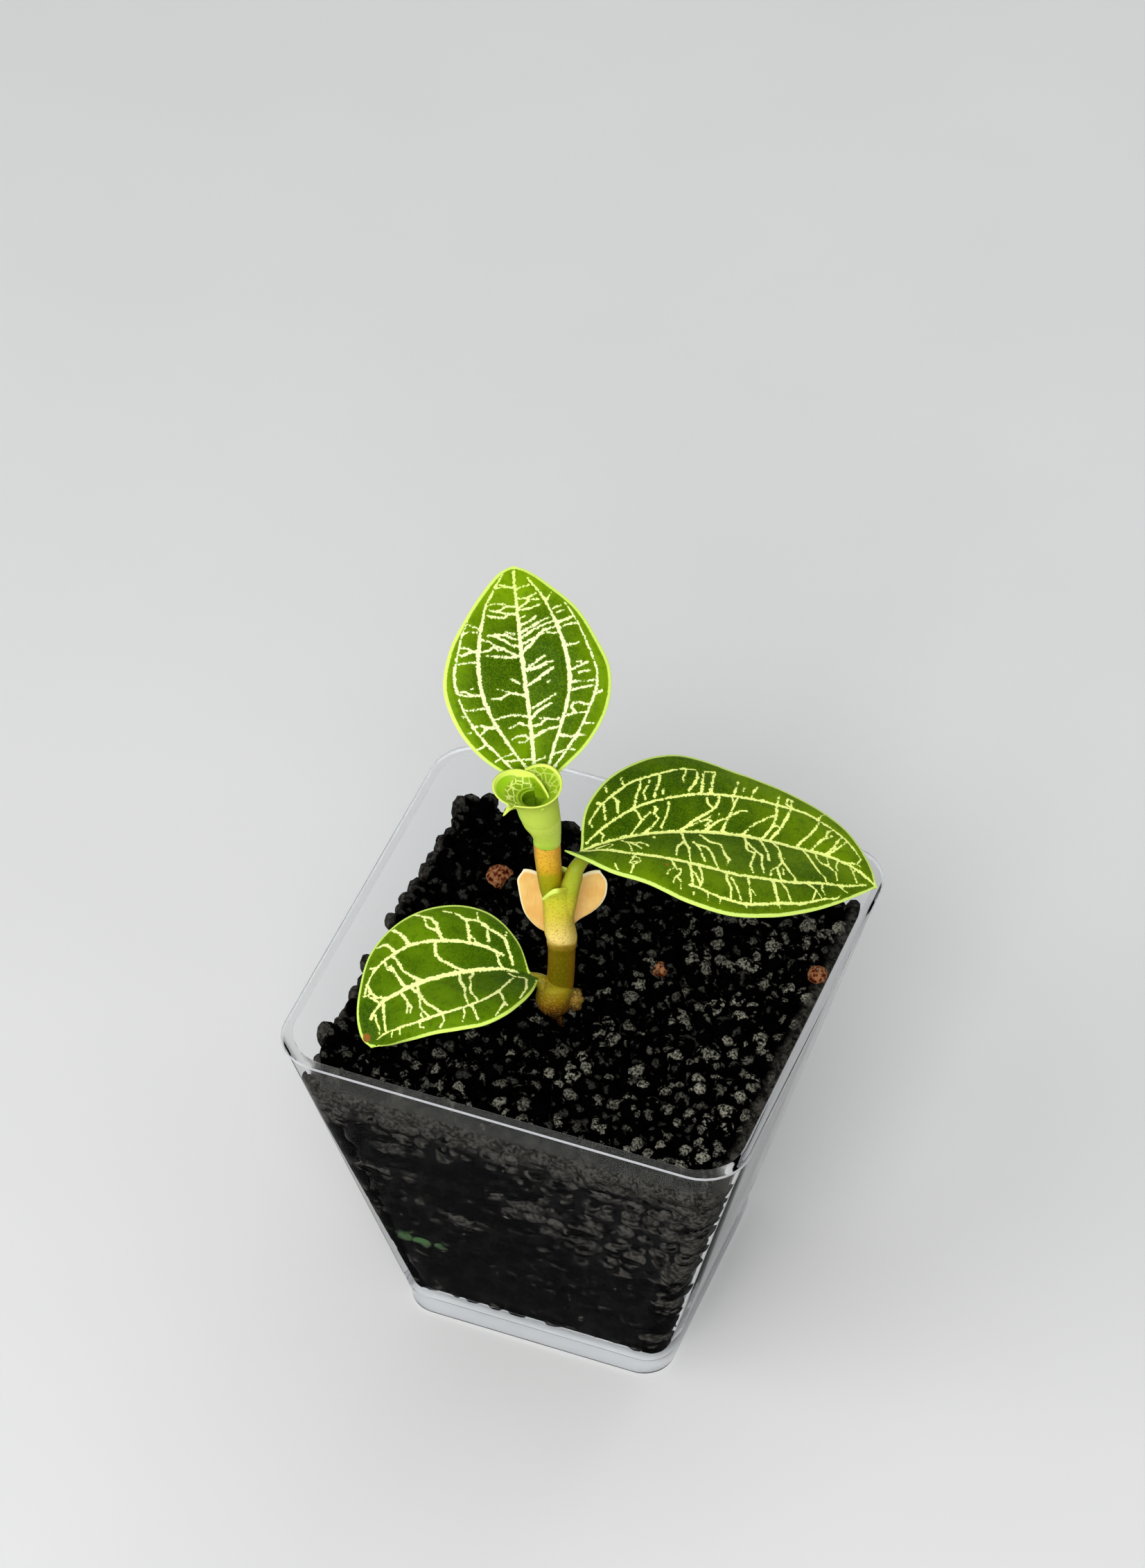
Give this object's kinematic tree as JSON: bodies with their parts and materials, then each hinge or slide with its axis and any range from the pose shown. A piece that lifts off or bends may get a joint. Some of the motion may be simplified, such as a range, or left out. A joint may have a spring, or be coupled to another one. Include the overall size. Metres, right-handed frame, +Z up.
{
  "type": "potted jewel orchid",
  "caption": "Young jewel orchid with net-veined oval leaves and one rolled new leaf, standing in a tapered square clear pot filled with black granules.",
  "frame": {"origin": "centre of the pot's flat underside", "axes": "+Z up, -Y towards the pot's front, +X towards the pot's right side, which the largest leaf overhangs"},
  "size_m": [0.07, 0.065, 0.1107],
  "materials": {
    "clear_plastic": "clear, polished, moulded",
    "black_granules": "damp black granules with a soft sheen",
    "stem": "fleshy, satin, olive brown to orange",
    "veined_leaf": "velvety dark green with glittering pale veins and a light green margin",
    "new_leaf": "satin lime green",
    "faded_leaf": "dry, matt, peach coloured"
  },
  "bodies": {
    "root": {"pot": "clear_plastic", "substrate": "black_granules", "stem": "stem", "leaf_left": "veined_leaf", "leaf_right": "veined_leaf", "leaf_top": "veined_leaf", "leaf_rolled": "new_leaf", "leaf_faded": "faded_leaf"}
  },
  "joints": []
}
